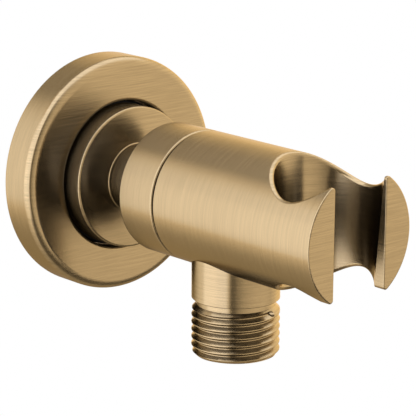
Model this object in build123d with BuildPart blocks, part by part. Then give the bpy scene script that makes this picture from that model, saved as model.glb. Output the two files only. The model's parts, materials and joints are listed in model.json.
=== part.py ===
"""Wall-mounted hand shower holder with a ball joint and a hose outlet.

The wall is the plane Y = 0 and the holder stands out from it along -Y, with +Z up.
The origin is the centre of the water inlet, in the wall plane. Sizes are in millimetres,
and a "depth" is a distance in front of the wall.
"""

import os
from math import asin, cos, radians, sin, sqrt, tan

from build123d import *

# Driving dimensions of the wall flange
flange_diameter = 58.4
flange_depth = 9.5
flange_wall = 1.6
flange_edge_round = 2.2
flange_gap = 0.75
flange_hole_round = 0.9
flange_sleeve_depth = 3.0

# Driving dimensions of the wall hub and the ring in its groove
hub_diameter = 35.1
hub_depth = 13.8
hub_edge_round = 0.55
inlet_bore_diameter = 18.64
inlet_bore_depth = 9.6
flange_ring_section = 2.1
flange_ring_depth = 6.0
flange_ring_clearance = 0.05
flange_ring_groove = 2.6

# Driving dimensions of the ball stem, from the neck's size and the ball's place
ball_depth = 34.1
neck_diameter = 16.2
stem_shoulder_step = 0.7
stem_shoulder_thickness = 0.7
stem_thread_step = 0.6
stem_bore_diameter = 9.5
stem_hex_across_flats = 10.0
stem_hex_depth = 8.0
stem_hex_rim = 0.25

# Driving dimensions of the ball joint's nut, spigot and seats
joint_tilt_cone = 18.0
nut_length = 12.0
nut_wall = 1.5
nut_shell = 1.85
nut_gap = 0.5
thread_clearance = 0.05
spigot_wall = 1.55
ball_gap = 0.4
seat_clearance = 0.08
rear_seat_margin = 0.85
rear_seat_land = 1.44
front_seat_thickness = 1.1
front_seat_inner_angle = 30.0
front_seat_outer_angle = 56.0

# Driving dimensions of the holder body; a "reach" starts at the ball's centre
body_diameter = 31.7
body_reach = 57.25
body_edge_round = 0.55
spigot_edge_round = 0.25
waterway_diameter = 9.0

# Driving dimensions of the hand shower cradle
cradle_reach = 47.1
cradle_diameter = 22.8
cradle_half_angle = 3.6
cradle_mouth_round = 0.8
cradle_overrun = 2.0
slot_width = 15.8
slot_edge_round = 0.4

# Driving dimensions of the hose outlet
outlet_reach = 16.85
outlet_diameter = 20.955
outlet_length = 19.9
outlet_thread_length = 11.0
outlet_relief_diameter = 18.6
outlet_relief_length = 1.3
outlet_relief_slope = 1.35
outlet_end_chamfer = 0.9
outlet_bore_diameter = 14.3
outlet_throat_diameter = 10.0
outlet_throat_length = 3.15

# Driving dimensions of the check valve in the outlet
valve_length = 14.4
valve_throat_diameter = 8.4
valve_chamber_diameter = 11.8
valve_fit = 0.06
valve_lip = 0.84
valve_ring_section = 1.4
valve_ring_groove_height = 1.68
valve_shoulder = 0.42
valve_seat_slope = 1.15
seal_thickness = 1.2
seal_web = 1.6
seal_lap = 0.3
seal_gap = 0.09
poppet_head_diameter = 9.6
poppet_head_thickness = 1.2
poppet_stem_diameter = 2.4
poppet_cap_thickness = 0.7
poppet_cap_gap = 0.84
guide_thickness = 1.2
guide_ledge = 0.4
guide_spokes = 3
spring_wire = 0.6
spring_mean_diameter = 6.0
spring_turns = 5.5

# How near an edge or a face must be to a depth or a radius to be picked by it
pick_tolerance = 0.01

# Radii and depths that several pieces share
body_radius = body_diameter / 2
nut_thread_radius = body_radius - nut_shell
spigot_radius = nut_thread_radius - thread_clearance
ball_bore_radius = spigot_radius - spigot_wall
ball_radius = ball_bore_radius - ball_gap
neck_radius = neck_diameter / 2
seat_radius = ball_radius + seat_clearance
tilt_cone = radians(joint_tilt_cone)
rear_seat_angle = asin(neck_radius / ball_radius) + tilt_cone + radians(rear_seat_margin)
rear_seat_back = ball_depth - seat_radius * cos(rear_seat_angle)
rear_seat_front = ball_depth - rear_seat_land
nut_floor_depth = rear_seat_back - thread_clearance
nut_rear_depth = nut_floor_depth - nut_wall
nut_front_depth = nut_rear_depth + nut_length
body_rear_depth = nut_front_depth + nut_gap
body_end_depth = ball_depth + body_reach
cradle_depth = ball_depth + cradle_reach
outlet_depth = ball_depth + outlet_reach
outlet_end_drop = body_radius + outlet_length
valve_top_drop = body_radius + outlet_throat_length


def turned(points, mode=Mode.ADD):
    """Revolve a closed outline of (radius, depth) points about the inlet axis."""
    with BuildSketch(Plane.XY) as outline:
        with BuildLine():
            Polyline(*[(radius, -depth) for radius, depth in points], close=True)
        make_face()
    revolve(outline.sketch, axis=Axis.Y, mode=mode)


def turned_on_outlet(points, mode=Mode.ADD):
    """Revolve a closed outline of (radius, drop) points about the outlet axis."""
    with BuildSketch(outlet_plane) as outline:
        with BuildLine():
            Polyline(*[(radius, -drop) for radius, drop in points], close=True)
        make_face()
    revolve(outline.sketch, axis=outlet_axis, mode=mode)


def ring_edges(part, radius, depth):
    """The circular edges of a turned part with this radius at this depth."""
    return part.edges().filter_by(GeomType.CIRCLE).filter_by(
        lambda edge: abs(edge.radius - radius) < pick_tolerance
        and abs(edge.arc_center.Y + depth) < pick_tolerance
    )


def finish(builder, node):
    """Label a finished piece and write it to its own file."""
    builder.part.label = node
    export_step(builder.part, f"parts/{node}.step")


os.makedirs("parts", exist_ok=True)
outlet_plane = Plane(origin=(0, -outlet_depth, 0), x_dir=(1, 0, 0), z_dir=(0, -1, 0))
outlet_axis = Axis((0, -outlet_depth, 0), (0, 0, 1))

# Wall flange: a hollow cover with a rounded front edge and a sleeve round the hub
hub_radius = hub_diameter / 2
flange_radius = flange_diameter / 2
flange_hole_radius = hub_radius + flange_gap
flange_sleeve_radius = flange_hole_radius + flange_wall
flange_inner_depth = flange_depth - flange_wall
flange_inner_radius = flange_radius - flange_wall

with BuildPart() as wall_flange:
    turned([
        (flange_radius, 0),
        (flange_radius, flange_depth),
        (flange_hole_radius, flange_depth),
        (flange_hole_radius, flange_sleeve_depth),
        (flange_sleeve_radius, flange_sleeve_depth),
        (flange_sleeve_radius, flange_inner_depth),
        (flange_inner_radius, flange_inner_depth),
        (flange_inner_radius, 0),
    ])
    fillet(ring_edges(wall_flange, flange_radius, flange_depth), flange_edge_round)
    fillet(ring_edges(wall_flange, flange_hole_radius, flange_depth), flange_hole_round)
    fillet(ring_edges(wall_flange, flange_inner_radius, flange_inner_depth), flange_edge_round / 2)

finish(wall_flange, "wall_flange")

# Rubber ring in a groove of the hub, which grips the flange's sleeve
ring_outer_radius = flange_hole_radius - flange_ring_clearance
ring_groove_radius = ring_outer_radius - flange_ring_section
ring_groove_half = flange_ring_groove / 2

with BuildPart() as flange_o_ring:
    with BuildSketch(Plane.XY):
        with Locations((ring_groove_radius + flange_ring_section / 2, -flange_ring_depth)):
            Circle(flange_ring_section / 2)
    revolve(axis=Axis.Y)

finish(flange_o_ring, "flange_o_ring")

# Wall hub: screws onto the pipe in the wall, and takes the ball stem in front
inlet_radius = inlet_bore_diameter / 2
stem_thread_radius = neck_radius - stem_thread_step

with BuildPart() as wall_hub:
    turned([
        (inlet_radius, 0),
        (hub_radius, 0),
        (hub_radius, flange_ring_depth - ring_groove_half),
        (ring_groove_radius, flange_ring_depth - ring_groove_half),
        (ring_groove_radius, flange_ring_depth + ring_groove_half),
        (hub_radius, flange_ring_depth + ring_groove_half),
        (hub_radius, hub_depth),
        (stem_thread_radius, hub_depth),
        (stem_thread_radius, inlet_bore_depth),
        (inlet_radius, inlet_bore_depth),
    ])
    fillet(ring_edges(wall_hub, hub_radius, hub_depth), hub_edge_round)
    chamfer(ring_edges(wall_hub, hub_radius, 0), hub_edge_round)

finish(wall_hub, "wall_hub")

# Ball stem: threaded tail, stop shoulder, neck and hollow ball with a hex socket
shoulder_radius = neck_radius + stem_shoulder_step
shoulder_front = hub_depth + stem_shoulder_thickness
ball_flat_radius = stem_hex_across_flats / sqrt(3) + stem_hex_rim
ball_flat_depth = ball_depth + sqrt(ball_radius**2 - ball_flat_radius**2)

with BuildPart() as ball_stem:
    turned([
        (0, inlet_bore_depth + thread_clearance),
        (stem_thread_radius - thread_clearance, inlet_bore_depth + thread_clearance),
        (stem_thread_radius - thread_clearance, hub_depth),
        (shoulder_radius, hub_depth),
        (shoulder_radius, shoulder_front),
        (neck_radius, shoulder_front),
        (neck_radius, ball_depth),
        (0, ball_depth),
    ])
    with Locations((0, -ball_depth, 0)):
        Sphere(ball_radius)
    split(bisect_by=Plane.XZ.offset(ball_flat_depth), keep=Keep.BOTTOM)
    with BuildSketch(Plane.XZ.offset(ball_flat_depth)):
        RegularPolygon(stem_hex_across_flats / 2, 6, major_radius=False)
    extrude(amount=-stem_hex_depth, mode=Mode.SUBTRACT)
    with BuildSketch(Plane.XZ.offset(ball_flat_depth)):
        Circle(stem_bore_diameter / 2)
    extrude(amount=-ball_flat_depth, mode=Mode.SUBTRACT)
    fillet(ring_edges(ball_stem, shoulder_radius, shoulder_front), stem_shoulder_thickness / 2)

finish(ball_stem, "ball_stem")

# Rear seat: plastic ring in the nut that bears on the back of the ball
with BuildPart() as rear_seat:
    turned([
        (0, rear_seat_back),
        (nut_thread_radius - seat_clearance, rear_seat_back),
        (nut_thread_radius - seat_clearance, rear_seat_front),
        (0, rear_seat_front),
    ])
    with Locations((0, -ball_depth, 0)):
        Sphere(seat_radius, mode=Mode.SUBTRACT)

finish(rear_seat, "rear_seat")

# Front seat: thin spherical cup between the front of the ball and the body's socket
socket_radius = seat_radius + front_seat_thickness + seat_clearance
seat_back_radius = seat_radius + front_seat_thickness
seat_start = radians(front_seat_inner_angle)
seat_end = radians(front_seat_outer_angle)


def seat_point(radius, angle):
    """A point of the seat's section, by its distance and angle from the ball's centre."""
    return (radius * sin(angle), -ball_depth - radius * cos(angle))


with BuildPart() as front_seat:
    with BuildSketch(Plane.XY):
        with BuildLine():
            middle = (seat_start + seat_end) / 2
            ThreePointArc(*[seat_point(seat_radius, angle) for angle in (seat_start, middle, seat_end)])
            Line(seat_point(seat_radius, seat_end), seat_point(seat_back_radius, seat_end))
            ThreePointArc(*[seat_point(seat_back_radius, angle) for angle in (seat_end, middle, seat_start)])
            Line(seat_point(seat_back_radius, seat_start), seat_point(seat_radius, seat_start))
        make_face()
    revolve(axis=Axis.Y)

finish(front_seat, "front_seat")

# Ball nut: the rear ring of the body, which clamps the ball against the front seat
nut_opening_radius = (ball_depth - nut_rear_depth) * tan(tilt_cone) + neck_radius / cos(tilt_cone)

with BuildPart() as ball_nut:
    turned([
        (nut_opening_radius, nut_rear_depth),
        (body_radius, nut_rear_depth),
        (body_radius, nut_front_depth),
        (nut_thread_radius, nut_front_depth),
        (nut_thread_radius, nut_floor_depth),
        (nut_opening_radius, nut_floor_depth),
    ])
    fillet(ring_edges(ball_nut, body_radius, nut_rear_depth), body_edge_round)
    fillet(ring_edges(ball_nut, body_radius, nut_front_depth), body_edge_round)
    fillet(ring_edges(ball_nut, nut_opening_radius, nut_rear_depth), body_edge_round)

finish(ball_nut, "ball_nut")

# Holder body: threaded spigot, ball socket, waterway and the forked cradle
spigot_rear_depth = rear_seat_front + nut_gap
cradle_height = body_diameter + 2 * cradle_overrun
cradle_spread = cradle_height / 2 * tan(radians(cradle_half_angle))


def is_mouth_edge(edge):
    """True for the edges where the cradle and its slot run out through the round body."""
    middle = edge.position_at(0.5)
    on_surface = abs(sqrt(middle.X**2 + middle.Z**2) - body_radius) < pick_tolerance
    in_cradle = -middle.Y > cradle_depth - cradle_diameter
    return on_surface and in_cradle and -middle.Y < body_end_depth - pick_tolerance


with BuildPart() as holder_body:
    turned([
        (0, spigot_rear_depth),
        (spigot_radius, spigot_rear_depth),
        (spigot_radius, body_rear_depth),
        (body_radius, body_rear_depth),
        (body_radius, body_end_depth),
        (0, body_end_depth),
    ])
    turned([
        (0, spigot_rear_depth),
        (ball_bore_radius, spigot_rear_depth),
        (ball_bore_radius, ball_depth),
        (0, ball_depth),
    ], mode=Mode.SUBTRACT)
    with BuildSketch(Plane.XY):
        with Locations((0, -ball_depth)):
            Circle(socket_radius)
        with Locations((ball_bore_radius / 2, -ball_depth - socket_radius / 2)):
            Rectangle(ball_bore_radius, socket_radius, mode=Mode.INTERSECT)
    revolve(axis=Axis.Y, mode=Mode.SUBTRACT)
    with BuildSketch(Plane.XZ.offset(ball_depth)):
        Circle(waterway_diameter / 2)
    extrude(amount=outlet_depth - ball_depth, mode=Mode.SUBTRACT)
    with Locations((0, -outlet_depth, 0)):
        Sphere(waterway_diameter / 2, mode=Mode.SUBTRACT)
        Cylinder(
            waterway_diameter / 2,
            body_radius,
            align=(Align.CENTER, Align.CENTER, Align.MAX),
            mode=Mode.SUBTRACT,
        )
    with Locations((0, -cradle_depth, 0)):
        Cone(
            cradle_diameter / 2 - cradle_spread,
            cradle_diameter / 2 + cradle_spread,
            cradle_height,
            mode=Mode.SUBTRACT,
        )
        Box(
            slot_width,
            body_end_depth,
            cradle_height,
            align=(Align.CENTER, Align.MAX, Align.CENTER),
            mode=Mode.SUBTRACT,
        )
    fillet(holder_body.edges().filter_by(is_mouth_edge), cradle_mouth_round)
    end_face = holder_body.faces().sort_by(Axis.Y).first
    end_faces = holder_body.faces().filter_by(Plane.XZ).filter_by(
        lambda face: abs(face.center().Y - end_face.center().Y) < pick_tolerance
    )
    fillet(end_faces.edges(), slot_edge_round)
    fillet(ring_edges(holder_body, body_radius, body_rear_depth), spigot_edge_round)

finish(holder_body, "holder_body")

# Outlet nipple: tube coped to the round body, with a relief and the hose thread's cylinder
outlet_radius = outlet_diameter / 2
outlet_bore_radius = outlet_bore_diameter / 2
thread_top_drop = outlet_end_drop - outlet_thread_length
relief_top_drop = thread_top_drop - outlet_relief_length
relief_radius = outlet_relief_diameter / 2
thread_lead = outlet_radius - relief_radius

with BuildPart() as outlet_nipple:
    turned_on_outlet([
        (outlet_throat_diameter / 2, 0),
        (outlet_radius, 0),
        (outlet_radius, relief_top_drop - outlet_relief_slope),
        (relief_radius, relief_top_drop),
        (relief_radius, thread_top_drop - thread_lead),
        (outlet_radius, thread_top_drop),
        (outlet_radius, outlet_end_drop - outlet_end_chamfer),
        (outlet_radius - outlet_end_chamfer, outlet_end_drop),
        (outlet_bore_radius, outlet_end_drop),
        (outlet_bore_radius, valve_top_drop),
        (outlet_throat_diameter / 2, valve_top_drop),
    ])
    with Locations((0, -outlet_depth, 0)):
        Cylinder(body_radius, body_end_depth, rotation=(90, 0, 0), mode=Mode.SUBTRACT)

finish(outlet_nipple, "outlet_nipple")

# Valve housing: plastic cartridge with a conical seat, pushed up into the outlet
valve_radius = outlet_bore_radius - valve_fit
valve_top = valve_top_drop + valve_fit
valve_bottom = valve_top + valve_length
throat_radius = valve_throat_diameter / 2
chamber_radius = valve_chamber_diameter / 2
valve_ring_groove = outlet_bore_radius - valve_ring_section
valve_ring_top = valve_top + valve_lip
valve_ring_bottom = valve_ring_top + valve_ring_groove_height
seat_top = valve_ring_bottom + valve_shoulder
seat_bottom = seat_top + (chamber_radius - throat_radius) * valve_seat_slope
guide_top = valve_bottom - guide_thickness

with BuildPart() as valve_housing:
    turned_on_outlet([
        (throat_radius, valve_top),
        (valve_radius, valve_top),
        (valve_radius, valve_ring_top),
        (valve_ring_groove, valve_ring_top),
        (valve_ring_groove, valve_ring_bottom),
        (valve_radius, valve_ring_bottom),
        (valve_radius, valve_bottom),
        (chamber_radius + guide_ledge, valve_bottom),
        (chamber_radius + guide_ledge, guide_top),
        (chamber_radius, guide_top),
        (chamber_radius, seat_bottom),
        (throat_radius, seat_top),
    ])

finish(valve_housing, "valve_housing")

# Rubber ring that seals the cartridge in the outlet's bore
valve_ring_drop = (valve_ring_top + valve_ring_bottom) / 2

with BuildPart() as valve_o_ring:
    with BuildSketch(outlet_plane):
        with Locations((valve_ring_groove + valve_ring_section / 2, -valve_ring_drop)):
            Circle(valve_ring_section / 2)
    revolve(axis=outlet_axis)

finish(valve_o_ring, "valve_o_ring")

# Poppet: a mushroom head on a thin stem, with a groove for its rubber seal
seal_hub_radius = throat_radius - seal_web
seal_top_radius = throat_radius - seal_lap
seal_bottom_radius = seal_top_radius + seal_thickness / valve_seat_slope
seal_top = seat_top - seal_lap * valve_seat_slope + seal_gap
seal_bottom = seal_top + seal_thickness
cap_radius = throat_radius - poppet_cap_gap
cap_top = seal_top - poppet_cap_thickness
head_radius = poppet_head_diameter / 2
head_bottom = seal_bottom + poppet_head_thickness
poppet_stem_radius = poppet_stem_diameter / 2
poppet_stem_end = guide_top + guide_thickness

with BuildPart() as valve_poppet:
    turned_on_outlet([
        (0, cap_top),
        (cap_radius, cap_top),
        (cap_radius, seal_top),
        (seal_hub_radius, seal_top),
        (seal_hub_radius, seal_bottom),
        (head_radius, seal_bottom),
        (head_radius, head_bottom),
        (poppet_stem_radius, head_bottom),
        (poppet_stem_radius, poppet_stem_end),
        (0, poppet_stem_end),
    ])

finish(valve_poppet, "valve_poppet")

# Poppet seal: rubber ring with a bevel that closes on the conical seat
with BuildPart() as poppet_seal:
    turned_on_outlet([
        (seal_hub_radius, seal_top),
        (seal_top_radius, seal_top),
        (seal_bottom_radius, seal_bottom),
        (seal_hub_radius, seal_bottom),
    ])

finish(poppet_seal, "poppet_seal")

# Valve guide: spoked disc in the foot of the cartridge, which steers the poppet's stem
guide_radius = chamber_radius + guide_ledge - valve_fit
guide_hole_radius = poppet_stem_radius + valve_fit
guide_boss_radius = guide_hole_radius + guide_thickness
guide_rim_radius = guide_radius - guide_thickness

with BuildPart() as valve_guide:
    with BuildSketch(Plane.XY.offset(-guide_top - guide_thickness)):
        with Locations((0, -outlet_depth)):
            Circle(guide_radius)
            Circle(guide_rim_radius, mode=Mode.SUBTRACT)
            Circle(guide_boss_radius)
            with PolarLocations(guide_radius / 2, guide_spokes):
                Rectangle(guide_radius - guide_thickness / 2, guide_thickness)
            Circle(guide_hole_radius, mode=Mode.SUBTRACT)
    extrude(amount=guide_thickness)

finish(valve_guide, "valve_guide")

# Valve spring: wire coil between the guide and the poppet's head
spring_radius = spring_mean_diameter / 2
spring_length = guide_top - head_bottom - spring_wire

with BuildPart() as valve_spring:
    with BuildLine() as coil:
        Helix(
            spring_length / spring_turns,
            spring_length,
            spring_radius,
            center=(0, -outlet_depth, -guide_top + spring_wire / 2),
        )
    with BuildSketch(Plane(coil.line @ 0, z_dir=coil.line % 0)):
        Circle(spring_wire / 2)
    sweep(path=coil.line, is_frenet=True)

finish(valve_spring, "valve_spring")
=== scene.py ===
"""Studio scene of the wall-mounted hand shower holder, dressed in brushed gold."""

import json
from math import ceil, cos, floor, pi, radians, sin, sqrt, tan

import bmesh
import bpy
from mathutils import Matrix, Vector


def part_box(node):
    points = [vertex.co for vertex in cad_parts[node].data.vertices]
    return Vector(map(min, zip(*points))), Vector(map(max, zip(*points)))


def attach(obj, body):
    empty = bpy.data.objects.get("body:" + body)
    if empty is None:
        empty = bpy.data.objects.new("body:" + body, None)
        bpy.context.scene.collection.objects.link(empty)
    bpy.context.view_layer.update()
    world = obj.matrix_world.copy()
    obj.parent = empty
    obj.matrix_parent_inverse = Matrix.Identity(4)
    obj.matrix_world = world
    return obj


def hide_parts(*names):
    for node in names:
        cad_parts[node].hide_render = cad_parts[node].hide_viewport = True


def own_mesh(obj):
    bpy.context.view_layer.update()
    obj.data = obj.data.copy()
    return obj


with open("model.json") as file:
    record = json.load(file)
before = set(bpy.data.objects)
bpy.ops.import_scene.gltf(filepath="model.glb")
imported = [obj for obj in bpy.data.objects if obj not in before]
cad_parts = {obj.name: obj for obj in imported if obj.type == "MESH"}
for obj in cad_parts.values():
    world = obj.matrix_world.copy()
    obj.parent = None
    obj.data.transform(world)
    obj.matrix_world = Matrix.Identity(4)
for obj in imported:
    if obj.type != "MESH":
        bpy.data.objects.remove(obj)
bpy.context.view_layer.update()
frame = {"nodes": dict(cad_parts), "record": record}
nodes = frame["nodes"]
mounts = {mount["name"]: mount for mount in frame["record"]["mounts"]}

# Camera of the photograph: angles in degrees, lengths in metres
CAMERA_AZIMUTH = -41.62
CAMERA_ELEVATION = 14.315
CAMERA_ROLL = 0.375
CAMERA_DISTANCE = 0.508
CAMERA_LENS_MM = 184.83
CAMERA_SENSOR_MM = 36.0
CAMERA_TARGET = Vector((0.0, -0.038, -0.002))
CAMERA_SIDE_STEP = 0.001911
CAMERA_UP_STEP = -0.001072

# Linear colours of the finishes, and a painted shade for the gold's reflections
GOLD_LIGHT = (0.81, 0.545, 0.252, 1.0)
GOLD_DEEP = (0.65, 0.435, 0.200, 1.0)
GOLD_EDGE = (1.0, 0.80, 0.52, 1.0)
# Dark neutral grey that replaces the gold wherever it is seen in a reflection: painted shade in
# reflections
PAINTED_REFLECTION_SHADE = (0.14, 0.135, 0.13, 1.0)
RUBBER_DARK = (0.010, 0.010, 0.011, 1.0)
RUBBER_DUSTY = (0.022, 0.022, 0.023, 1.0)
PLASTIC_LIGHT = (0.82, 0.82, 0.79, 1.0)
PLASTIC_SHADE = (0.74, 0.74, 0.70, 1.0)
STEEL_LIGHT = (0.60, 0.60, 0.59, 1.0)
STEEL_DARK = (0.45, 0.45, 0.44, 1.0)
WHITE = (1.0, 1.0, 1.0, 1.0)
COOL_WHITE = (0.83, 0.91, 1.10, 1.0)
COOL_GLARE = (1.12, 1.27, 1.70, 1.0)
PALE_FLOOR = (0.80, 0.80, 0.79, 1.0)

# Fine grain of the brushing, in strokes per metre across and along the lines
BRUSH_ACROSS = 4800.0
BRUSH_ALONG = 90.0

# Share by which the ring strokes keep off the darkest and the lightest gold
RING_EVENNESS = 0.26

# Share of the strokes in the gold's tone beside soft clouds, and the clouds' scale per metre
STREAK_SHARE = 0.75
CLOUD_SCALE = 70.0

# Gloss of the gold: roughness from its smoothest to its roughest strokes, stretch and relief
GOLD_ROUGHNESS = (0.22, 0.26)
GOLD_ANISOTROPY = 0.83
GOLD_BUMP = 0.006

# Detail of a fine grain, and how far its roughness strays to either side
GRAIN_DETAIL = 4.0
ROUGHNESS_SPREAD = 0.08

# Stretches of a noise over which colour and gloss change, and the depth of every bump in metres
COLOR_SPAN = (0.3, 0.7)
GLOSS_SPAN = (0.25, 0.75)
BUMP_DEPTH = 0.0001

# The cradle's cone and slot, and how far past their edges the brushing follows them
CRADLE_RADIUS = 0.0114
CRADLE_SLOPE = tan(radians(3.6))
SLOT_HALF = 0.0079
EDGE_MARGIN = 0.0003

# How far a surface leans towards the front before its strokes run level
FACE_TURN = 0.10

# Half-inch pipe thread: 14 turns an inch, 55 degree flanks, rounded crests and roots
THREAD_PITCH = 0.0254 / 14
THREAD_OUTER = 0.020955 / 2
THREAD_ROOT = 0.018631 / 2
THREAD_FLANK = radians(27.5)
THREAD_ROUND = 0.1373 * THREAD_PITCH

# Rounding error in turns that the start of a thread may have
START_ROUNDING = 1e-6

# Columns round a threaded piece, how near its points are to be one, and the turn of a sharp edge
LATHE_COLUMNS = 192
MERGE_DISTANCE = 2e-7
SHARP_ANGLE = radians(28)

# The way up, along which the spring stands and the poppet moves
UP = Vector((0.0, 0.0, 1.0))

# The studio round the object: places in metres, azimuths in degrees
FLOOR_DROP = 0.80
FLOOR_RADIUS = 1.35
FLOOR_STEPS = 96
WALL_RADIUS = 1.60
WALL_START = -205.0
WALL_END = 115.0
WALL_STEPS = 64
CEILING_HEIGHT = 1.20
CEILING_LEFT = -2.40
CEILING_RIGHT = 2.60
CEILING_FRONT = -2.00
TOP_CARD_FRONT = -0.45
TOP_CARD_BACK = 0.70
CEILING_BACK = 3.00
LOW_CARD_DROP = 0.50
LOW_CARD_LEFT = -0.75
LOW_CARD_RIGHT = 1.20
DARK_CARD_FRONT = -0.75
DARK_CARD_BACK = -0.10
LOW_CARD_BACK = 1.30
LEFT_PANEL_AZIMUTH = -112.0
RIGHT_PANEL_AZIMUTH = 100.0

# Strengths of the studio's light and the tone of its darkest card
FLOOR_LIFT = 0.70
AMBIENT_STRENGTH = 0.45
PANEL_RADIANCE = 0.12
DARK_CARD_TONE = 0.08


def direction(azimuth, elevation):
    """Unit vector from the object, by azimuth from -Y towards +X and elevation, in degrees."""
    turn, rise = radians(azimuth), radians(elevation)
    return Vector((sin(turn) * cos(rise), -cos(turn) * cos(rise), sin(rise)))


class Shader:
    """Short calls for adding and linking the nodes of one material or world."""

    def __init__(self, owner):
        owner.use_nodes = True
        self.tree = owner.node_tree
        self.tree.nodes.clear()

    def put(self, socket, value):
        if isinstance(value, bpy.types.NodeSocket):
            self.tree.links.new(value, socket)
        else:
            socket.default_value = value

    def add(self, kind, inputs, output=0, **settings):
        """A new node with settings and inputs by name or index; returns one of its outputs."""
        node = self.tree.nodes.new(kind)
        for name, value in settings.items():
            setattr(node, name, value)
        for key, value in inputs.items():
            self.put(node.inputs[key], value)
        return node.outputs[output]

    def math(self, operation, *values):
        return self.add("ShaderNodeMath", dict(enumerate(values)), operation=operation)

    def vector(self, operation, *values, output=0):
        return self.add("ShaderNodeVectorMath", dict(enumerate(values)), output, operation=operation)

    def axis(self, vector, name):
        return self.add("ShaderNodeSeparateXYZ", {0: vector}, name)

    def smooth(self, value, start, end, low=0.0, high=1.0):
        inputs = {"Value": value, "From Min": start, "From Max": end, "To Min": low, "To Max": high}
        return self.add("ShaderNodeMapRange", inputs, interpolation_type="SMOOTHSTEP")

    def noise(self, position, scale, detail=2.0):
        return self.add("ShaderNodeTexNoise", {"Vector": position, "Scale": scale, "Detail": detail})

    def ramp(self, value, stops):
        """Colours by position from 0 to 1, blended smoothly."""
        node = self.tree.nodes.new("ShaderNodeValToRGB")
        elements = node.color_ramp.elements
        elements[0].position, elements[0].color = stops[0]
        elements[1].position, elements[1].color = stops[-1]
        for position, color in stops[1:-1]:
            elements.new(position).color = color
        self.put(node.inputs["Fac"], value)
        return node.outputs["Color"]

    def bump(self, height, strength):
        inputs = {"Height": height, "Strength": strength, "Distance": BUMP_DEPTH}
        return self.add("ShaderNodeBump", inputs)

    def seen_rays(self):
        """Mask of the rays that show a thing by sight, in a mirror or through glass."""
        path = self.tree.nodes.new("ShaderNodeLightPath").outputs
        mirrored = self.math("MAXIMUM", path["Is Camera Ray"], path["Is Glossy Ray"])
        return self.math("MAXIMUM", mirrored, path["Is Transmission Ray"])

    def surface(self, shader, output="ShaderNodeOutputMaterial"):
        self.tree.links.new(shader, self.tree.nodes.new(output).inputs["Surface"])


def is_flat_face(shade, position, normal):
    """Mask of the faces that look along the body; like every level zone it is handed the position, which
    it does not use.
    """
    facing = shade.math("ABSOLUTE", shade.axis(normal, "Y"))
    return shade.math("GREATER_THAN", facing, FACE_TURN)


def is_face_or_cradle(shade, position, normal):
    """Mask of the flat faces, the conical cradle and its slot."""
    cradle_y = mounts["cradle"]["pos_m"][1]
    from_axis = shade.vector("SUBTRACT", position, (0.0, cradle_y, 0.0))
    level = shade.vector("MULTIPLY", from_axis, (1.0, 1.0, 0.0))
    reach = shade.vector("LENGTH", level, output="Value")
    cone = shade.math("MULTIPLY_ADD", shade.axis(position, "Z"), CRADLE_SLOPE, CRADLE_RADIUS + EDGE_MARGIN)
    in_cone = shade.math("LESS_THAN", reach, cone)
    side = shade.math("ABSOLUTE", shade.axis(position, "X"))
    in_slot = shade.math("LESS_THAN", side, SLOT_HALF + EDGE_MARGIN)
    ahead = shade.math("LESS_THAN", shade.axis(position, "Y"), cradle_y)
    inside = shade.math("MAXIMUM", in_cone, shade.math("MULTIPLY", in_slot, ahead))
    return shade.math("MAXIMUM", inside, is_flat_face(shade, position, normal))


def brushed_gold(name, level_zone=None):
    """Satin gold with fine brush strokes: rings about Y, but level strokes in the level zone.

    Seen in another polished surface its colour is swapped for a dark neutral grey, a painted shade that
    darkens reflections of the gold.
    level_zone takes the shader, the object position and the normal, and returns a mask.
    Without one the strokes run level all over.
    """
    material = bpy.data.materials.new(name)
    shade = Shader(material)
    position = shade.add("ShaderNodeTexCoord", {}, "Object")
    level = shade.vector("MULTIPLY", position, (BRUSH_ALONG, BRUSH_ALONG, BRUSH_ACROSS))
    if level_zone is None:
        strokes, tangent = level, shade.add("ShaderNodeCombineXYZ", {"Z": 1.0})
        darkest, lightest = 0.0, 1.0
    else:
        mask = level_zone(shade, position, shade.add("ShaderNodeTexCoord", {}, "Normal"))
        rings = shade.vector("MULTIPLY", position, (BRUSH_ALONG, BRUSH_ACROSS, BRUSH_ALONG))
        strokes = shade.add("ShaderNodeMix", {0: mask, 4: rings, 5: level}, 1, data_type="VECTOR")
        is_ring = shade.math("SUBTRACT", 1.0, mask)
        tangent = shade.add("ShaderNodeCombineXYZ", {"Y": is_ring, "Z": mask})
        darkest = shade.math("MULTIPLY", is_ring, RING_EVENNESS)
        lightest = shade.math("SUBTRACT", 1.0, darkest)
    streak = shade.noise(strokes, scale=1.0, detail=1.0)
    cloud = shade.noise(position, CLOUD_SCALE)
    streak_part = shade.math("MULTIPLY", streak, STREAK_SHARE)
    cloud_part = shade.math("MULTIPLY", cloud, 1.0 - STREAK_SHARE)
    tone = shade.math("ADD", streak_part, cloud_part)
    depth = shade.smooth(tone, *COLOR_SPAN, darkest, lightest)
    gold = shade.ramp(depth, [(0.0, GOLD_DEEP), (1.0, GOLD_LIGHT)])
    # Painted shade: on glossy rays the gold's colour is swapped for a dark neutral grey, darkening its
    # reflections
    painted_shade_in_reflections = shade.add("ShaderNodeLightPath", {}, "Is Glossy Ray")
    gold_or_painted_shade = {0: painted_shade_in_reflections, 6: gold, 7: PAINTED_REFLECTION_SHADE}
    principled = {
        "Base Color": shade.add("ShaderNodeMix", gold_or_painted_shade, 2, data_type="RGBA"),
        "Metallic": 1.0,
        "Roughness": shade.smooth(streak, *GLOSS_SPAN, *GOLD_ROUGHNESS),
        "Anisotropic": GOLD_ANISOTROPY,
        "Specular Tint": GOLD_EDGE,
        "Tangent": tangent,
        "Normal": shade.bump(streak, GOLD_BUMP),
    }
    shade.surface(shade.add("ShaderNodeBsdfPrincipled", principled))
    return material


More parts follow.
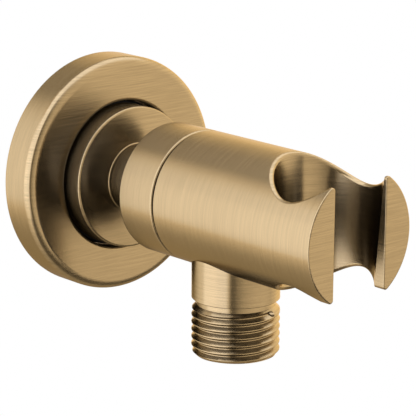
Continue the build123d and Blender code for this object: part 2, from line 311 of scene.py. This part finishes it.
def grained(name, dark, light, grain, roughness, bump, metallic=0.0):
    """A plain moulded or drawn material with fine grain in its colour, gloss and surface."""
    material = bpy.data.materials.new(name)
    shade = Shader(material)
    position = shade.add("ShaderNodeTexCoord", {}, "Object")
    speckle = shade.noise(position, grain, GRAIN_DETAIL)
    smoothest, roughest = roughness - ROUGHNESS_SPREAD, roughness + ROUGHNESS_SPREAD
    principled = {
        "Base Color": shade.ramp(shade.smooth(speckle, *COLOR_SPAN), [(0.0, dark), (1.0, light)]),
        "Metallic": metallic,
        "Roughness": shade.smooth(speckle, *GLOSS_SPAN, smoothest, roughest),
        "Normal": shade.bump(speckle, bump),
    }
    shade.surface(shade.add("ShaderNodeBsdfPrincipled", principled))
    return material


def thread_radius(turns):
    """Radius of the thread's surface at a height given in turns from a groove's middle."""
    away = abs(turns - round(turns)) * THREAD_PITCH
    half = THREAD_PITCH / 2
    flank_start = THREAD_ROUND * cos(THREAD_FLANK)
    if away < flank_start:
        return THREAD_ROOT + THREAD_ROUND - sqrt(THREAD_ROUND**2 - away**2)
    if away > half - flank_start:
        return THREAD_OUTER - THREAD_ROUND + sqrt(THREAD_ROUND**2 - (half - away) ** 2)
    middle = (THREAD_OUTER + THREAD_ROOT) / 2
    return middle + (away - half / 2) / tan(THREAD_FLANK)


def thread_rows(start, top, end, trim):
    """Helical rows of a thread between two heights; its first groove starts at share 0 of a turn.

    start is the height of the first groove's middle there, and trim corrects a radius at a height.
    """
    flank_start = THREAD_ROUND * cos(THREAD_FLANK) / THREAD_PITCH
    marks = [0.0, flank_start / 2, flank_start, 0.5 - flank_start, 0.5 - flank_start / 2]
    marks = marks + [0.5] + [1.0 - mark for mark in reversed(marks[1:])]

    def row(turns):
        def point(share):
            height = min(max(start + (turns + share) * THREAD_PITCH, top), end)
            along = (height - start) / THREAD_PITCH - share
            is_cut = floor(along + 0.5) + share > -START_ROUNDING
            return trim(thread_radius(along) if is_cut else THREAD_OUTER, height), height
        return point

    first = floor((top - start) / THREAD_PITCH) - 1
    last = ceil((end - start) / THREAD_PITCH) + 1
    return [row(turn + mark) for turn in range(first, last) for mark in marks]


def fixed_row(radius, height):
    """A row of a lathe that is the same all round."""
    return lambda share: (radius, height)


def lathe(name, rows, place):
    """A closed mesh from rows of (radius, height) by share of a turn; place gives the points."""
    grid = bmesh.new()
    columns = []
    for step in range(LATHE_COLUMNS + 1):
        share = step / LATHE_COLUMNS
        points = [place(*row(share), 2 * pi * share) for row in rows]
        columns.append([grid.verts.new(point) for point in points])
    for left, right in zip(columns, columns[1:]):
        for index in range(len(rows)):
            following = (index + 1) % len(rows)
            grid.faces.new((left[index], left[following], right[following], right[index]))
    bmesh.ops.remove_doubles(grid, verts=grid.verts, dist=MERGE_DISTANCE)
    bmesh.ops.dissolve_degenerate(grid, edges=grid.edges, dist=MERGE_DISTANCE)
    return finished_piece(name, grid)


def finished_piece(name, form):
    """An object from a bmesh, smooth but for its sharp edges."""
    bmesh.ops.recalc_face_normals(form, faces=form.faces)
    mesh = bpy.data.meshes.new(name)
    form.to_mesh(mesh)
    form.free()
    mesh.shade_smooth()
    mesh.set_sharp_from_angle(angle=SHARP_ANGLE)
    piece = bpy.data.objects.new(name, mesh)
    bpy.context.scene.collection.objects.link(piece)
    return piece


def dress(piece, material):
    piece.data.materials.clear()
    piece.data.materials.append(material)


def stand_for(piece, node, body):
    """The piece takes the place of a node on its body."""
    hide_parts(node)
    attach(piece, body)


def threaded_nipple():
    """The hose outlet with its cut thread, coped to the round body above."""
    outlet_y = mounts["hose_outlet"]["pos_m"][1]
    end = -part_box("outlet_nipple")[0].z
    body_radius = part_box("holder_body")[1].x
    upper_end, lead_start = 0.0221, 0.02357
    relief, end_chamfer = 0.0093, 0.0009
    groove_start, start_turn = 0.02463, radians(15.6)
    bore, throat, valve_seat = 0.00715, 0.005, 0.019
    edge, saddle_steps = 0.00015, 5

    def saddle(radius):
        def point(share):
            return radius, sqrt(body_radius**2 - (radius * sin(start_turn - 2 * pi * share)) ** 2)
        return point

    def trim(radius, height):
        lead_in = relief + height - lead_start
        lead_out = THREAD_OUTER - end_chamfer + end - height
        return min(radius, lead_in, lead_out)

    rows = [
        saddle(THREAD_OUTER),
        fixed_row(THREAD_OUTER, upper_end - edge),
        fixed_row(THREAD_OUTER - edge, upper_end),
        fixed_row(relief, upper_end),
        *thread_rows(groove_start, lead_start, end, trim),
        fixed_row(bore + 2 * edge, end),
        fixed_row(bore, end - 2 * edge),
        fixed_row(bore, valve_seat),
        fixed_row(throat, valve_seat),
        *[saddle(throat + (THREAD_OUTER - throat) * step / saddle_steps) for step in range(saddle_steps)],
    ]
    piece = lathe("outlet_nipple_threaded", rows, lambda radius, height, turn: Vector(
        (radius * sin(start_turn - turn), -radius * cos(start_turn - turn), -height)))
    piece.location = (0.0, outlet_y, 0.0)
    return piece


def threaded_hub():
    """The wall hub with the pipe thread cut in its inlet."""
    low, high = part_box("wall_hub")
    radius, front = high.x, -low.y
    edge_round, round_steps = 0.00055, 6
    stem_hole, bore_end, mouth = 0.0075, 0.0096, 0.0006
    groove_root, groove_start, groove_end = 0.01615, 0.0047, 0.0073

    def trim(bore, depth):
        return max(bore, THREAD_OUTER + mouth - depth)

    def rounded(step):
        turn = pi / 2 * step / round_steps
        inset = edge_round * (1 - cos(turn))
        return fixed_row(radius - inset, front - edge_round + edge_round * sin(turn))

    rows = [
        fixed_row(radius - edge_round, 0.0),
        fixed_row(radius, edge_round),
        fixed_row(radius, groove_start),
        fixed_row(groove_root, groove_start),
        fixed_row(groove_root, groove_end),
        fixed_row(radius, groove_end),
        *[rounded(step) for step in range(round_steps + 1)],
        fixed_row(stem_hole, front),
        fixed_row(stem_hole, bore_end),
        *reversed(thread_rows(-2 * THREAD_PITCH, 0.0, bore_end, trim)),
    ]
    return lathe("wall_hub_threaded", rows, lambda reach, depth, turn: Vector(
        (-reach * sin(turn), -depth, reach * cos(turn))))


def wire_spring():
    """The check valve's spring as a fixed coil of wire; the real spring shortens as the poppet opens."""
    low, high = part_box("valve_spring")
    wire, turns = 0.0006, 5.5
    steps, sides = 132, 12
    radius = (high.y - low.y - wire) / 2
    length = high.z - low.z - wire
    center = Vector((0.0, mounts["hose_outlet"]["pos_m"][1], low.z + wire / 2))
    angles = [2 * pi * side / sides for side in range(sides)]
    coil = bmesh.new()
    rings = []
    for step in range(steps + 1):
        turn = 2 * pi * turns * step / steps
        outward = Vector((cos(turn), sin(turn), 0.0))
        middle = center + outward * radius + UP * (length * step / steps)
        spokes = [outward * cos(angle) + UP * sin(angle) for angle in angles]
        rings.append([coil.verts.new(middle + spoke * wire / 2) for spoke in spokes])
    for before, after in zip(rings, rings[1:]):
        for side in range(sides):
            following = (side + 1) % sides
            coil.faces.new((before[side], before[following], after[following], after[side]))
    coil.faces.new(rings[0])
    coil.faces.new(rings[-1])
    piece = finished_piece("valve_spring_wire", coil)
    stand_for(piece, "valve_spring", "holder")
    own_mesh(piece)
    return piece


def glow(name, color):
    """An emitting material; color takes the shader and the object position."""
    material = bpy.data.materials.new(name)
    shade = Shader(material)
    position = shade.add("ShaderNodeTexCoord", {}, "Object")
    shade.surface(shade.add("ShaderNodeEmission", {"Color": color(shade, position), "Strength": 1.0}))
    return material


def grey(level):
    return (level, level, level, 1.0)


def plain(tone):
    """One tone all over a card."""
    return lambda shade, position: tone


def wall_color(shade, position):
    """Tones by azimuth: grey behind, bright left, a dark strip at the camera, grey to bright right."""
    front = shade.math("MULTIPLY", shade.axis(position, "Y"), -1.0)
    ahead = shade.math("ARCTAN2", shade.axis(position, "X"), front)
    turn = shade.math("WRAP", ahead, radians(WALL_START) + 2 * pi, radians(WALL_START))
    share = shade.add("ShaderNodeMapRange", {
        "Value": turn, "From Min": radians(WALL_START), "From Max": radians(WALL_END)})

    def at(azimuth):
        return (azimuth - WALL_START) / (WALL_END - WALL_START)

    return shade.ramp(share, [
        (0.0, grey(0.26)),
        (at(-180), grey(0.26)),
        (at(-150), COOL_WHITE),
        (at(-136), COOL_WHITE),
        (at(-128), COOL_GLARE),
        (at(-66), COOL_GLARE),
        (at(-58), grey(0.62)),
        (at(-55), grey(0.14)),
        (at(-46), grey(0.15)),
        (at(-36), grey(0.30)),
        (at(-18), grey(0.48)),
        (at(10), grey(0.62)),
        (at(50), grey(0.74)),
        (at(64), grey(0.84)),
        (1.0, grey(0.85)),
    ])


def across(shade, position, tones):
    """Greys by X position, from the first to the last."""
    left, right = tones[0][0], tones[-1][0]
    share = shade.add("ShaderNodeMapRange", {
        "Value": shade.axis(position, "X"), "From Min": left, "From Max": right})
    return shade.ramp(share, [((x - left) / (right - left), grey(level)) for x, level in tones])


def ceiling_color(shade, position):
    """Tones of the ceiling behind the object across its width: dark, and pale at its sides."""
    return across(shade, position, [
        (CEILING_LEFT, 1.0),
        (-1.16, 0.80),
        (-0.72, 0.58),
        (-0.34, 0.24),
        (0.34, 0.22),
        (0.90, 0.36),
        (CEILING_RIGHT, 0.85),
    ])


def low_card_color(shade, position):
    """Tones of the card below the object: dark, and pale towards its left edge."""
    return across(shade, position, [
        (LOW_CARD_LEFT, 0.80),
        (-0.42, 0.50),
        (-0.29, 0.36),
        (-0.13, 0.32),
        (LOW_CARD_RIGHT, 0.30),
    ])


def pale_floor():
    """A matt floor that takes light and shadow, and looks pale."""
    material = bpy.data.materials.new("pale_floor")
    shade = Shader(material)
    matt = shade.add("ShaderNodeBsdfDiffuse", {"Color": PALE_FLOOR})
    lift = shade.math("MULTIPLY", shade.seen_rays(), FLOOR_LIFT)
    pale = shade.add("ShaderNodeEmission", {"Color": PALE_FLOOR, "Strength": lift})
    shade.surface(shade.add("ShaderNodeAddShader", {0: matt, 1: pale}))
    return material


def stage_mesh(name, points, faces, material, seen=False):
    """A floor or card that isn't part of the object."""
    mesh = bpy.data.meshes.new(name)
    mesh.from_pydata(points, [], faces)
    mesh.materials.append(material)
    card = bpy.data.objects.new(name, mesh)
    bpy.context.scene.collection.objects.link(card)
    card.visible_camera = seen
    return card


def round_floor():
    """The round floor, which the camera sees."""
    turns = [2 * pi * step / FLOOR_STEPS for step in range(FLOOR_STEPS)]
    points = [(FLOOR_RADIUS * sin(turn), FLOOR_RADIUS * cos(turn), 0.0) for turn in turns]
    floor_sheet = stage_mesh("floor", points, [list(range(FLOOR_STEPS))], pale_floor(), seen=True)
    floor_sheet.location = (0.0, 0.0, -FLOOR_DROP)


def level_card(name, height, front, back, color):
    """A level card above or below the object."""
    left, right = (CEILING_LEFT, CEILING_RIGHT) if height > 0 else (LOW_CARD_LEFT, LOW_CARD_RIGHT)
    corners = ((left, front), (right, front), (right, back), (left, back))
    stage_mesh(name, [(x, y, height) for x, y in corners], [(0, 1, 2, 3)], glow(name + "_tone", color))


def front_wall():
    """The curved wall, from behind the object round its left and front to its right."""
    low, high = -FLOOR_DROP, CEILING_HEIGHT
    points, faces = [], []
    for step in range(WALL_STEPS + 1):
        azimuth = WALL_START + (WALL_END - WALL_START) * step / WALL_STEPS
        foot = direction(azimuth, 0.0) * WALL_RADIUS
        points += [(foot.x, foot.y, low), (foot.x, foot.y, high)]
        if step:
            faces.append((2 * step - 2, 2 * step, 2 * step + 1, 2 * step - 1))
    stage_mesh("front_wall", points, faces, glow("wall_tone", wall_color))


def white_world():
    """A world that is white to see, and gives less light than it shows."""
    world = bpy.data.worlds.new("studio")
    bpy.context.scene.world = world
    shade = Shader(world)
    ambient = shade.add("ShaderNodeBackground", {"Color": WHITE, "Strength": AMBIENT_STRENGTH})
    white = shade.add("ShaderNodeBackground", {"Color": WHITE, "Strength": 1.0})
    either = shade.add("ShaderNodeMixShader", {0: shade.seen_rays(), 1: ambient, 2: white})
    shade.surface(either, "ShaderNodeOutputWorld")


def side_panel(name, azimuth):
    """A large soft lamp that faces the object."""
    width, height, distance = 1.5, 1.1, 1.5
    lamp = bpy.data.lights.new(name, "AREA")
    lamp.shape = "RECTANGLE"
    lamp.size, lamp.size_y = width, height
    lamp.energy = PANEL_RADIANCE * pi * width * height
    holder = bpy.data.objects.new(name, lamp)
    bpy.context.scene.collection.objects.link(holder)
    toward = direction(azimuth, 0.0)
    holder.location = toward * distance
    holder.rotation_euler = toward.to_track_quat("Z", "Y").to_euler()
    holder.visible_camera = False


def build_studio():
    """Pale floor, toned cards above and below, a toned wall, two soft side lamps and a white world."""
    round_floor()
    level_card("back_card", CEILING_HEIGHT, TOP_CARD_BACK, CEILING_BACK, ceiling_color)
    level_card("top_card", CEILING_HEIGHT, TOP_CARD_FRONT, TOP_CARD_BACK, plain(COOL_GLARE))
    level_card("front_card", CEILING_HEIGHT, CEILING_FRONT, TOP_CARD_FRONT, wall_color)
    level_card("low_card", -LOW_CARD_DROP, DARK_CARD_BACK, LOW_CARD_BACK, low_card_color)
    level_card("dark_card", -LOW_CARD_DROP, DARK_CARD_FRONT, DARK_CARD_BACK, plain(grey(DARK_CARD_TONE)))
    front_wall()
    side_panel("left_panel", LEFT_PANEL_AZIMUTH)
    side_panel("right_panel", RIGHT_PANEL_AZIMUTH)
    white_world()


def place_camera():
    """The photograph's view."""
    turn = radians(CAMERA_AZIMUTH)
    right = Vector((cos(turn), sin(turn), 0.0))
    back = direction(CAMERA_AZIMUTH, CAMERA_ELEVATION)
    up = back.cross(right)
    roll = radians(CAMERA_ROLL)
    rolled_right = right * cos(roll) + up * sin(roll)
    rolled_up = up * cos(roll) - right * sin(roll)
    lens = bpy.data.cameras.new("photo_view")
    lens.lens = CAMERA_LENS_MM
    lens.sensor_width = CAMERA_SENSOR_MM
    camera = bpy.data.objects.new("photo_view", lens)
    bpy.context.scene.collection.objects.link(camera)
    place = CAMERA_TARGET + right * CAMERA_SIDE_STEP + up * CAMERA_UP_STEP + back * CAMERA_DISTANCE
    columns = Matrix((rolled_right, rolled_up, back)).transposed().to_4x4()
    camera.matrix_world = Matrix.Translation(place) @ columns
    bpy.context.scene.camera = camera


def dress_nodes():
    """A finish for every solid that shows."""
    turned_gold = brushed_gold("turned_gold", is_flat_face)
    rubber = grained("black_rubber", RUBBER_DARK, RUBBER_DUSTY, grain=900.0, roughness=0.6, bump=0.2)
    acetal = grained("white_acetal", PLASTIC_SHADE, PLASTIC_LIGHT, grain=400.0, roughness=0.38, bump=0.05)
    steel = grained(
        "drawn_steel", STEEL_DARK, STEEL_LIGHT, grain=1500.0, roughness=0.32, bump=0.08, metallic=1.0)
    finishes = {
        "wall_flange": turned_gold,
        "ball_stem": turned_gold,
        "ball_nut": turned_gold,
        "holder_body": brushed_gold("body_gold", is_face_or_cradle),
        "flange_o_ring": rubber,
        "valve_o_ring": rubber,
        "poppet_seal": rubber,
        "rear_seat": acetal,
        "front_seat": acetal,
        "valve_housing": acetal,
        "valve_poppet": acetal,
        "valve_guide": acetal,
    }
    for node, material in finishes.items():
        dress(nodes[node], material)
    nipple = threaded_nipple()
    dress(nipple, brushed_gold("outlet_gold"))
    stand_for(nipple, "outlet_nipple", "holder")
    hub = threaded_hub()
    dress(hub, turned_gold)
    stand_for(hub, "wall_hub", "wall_side")
    dress(wire_spring(), steel)


bpy.context.scene.view_settings.view_transform = "Standard"
build_studio()
place_camera()
dress_nodes()
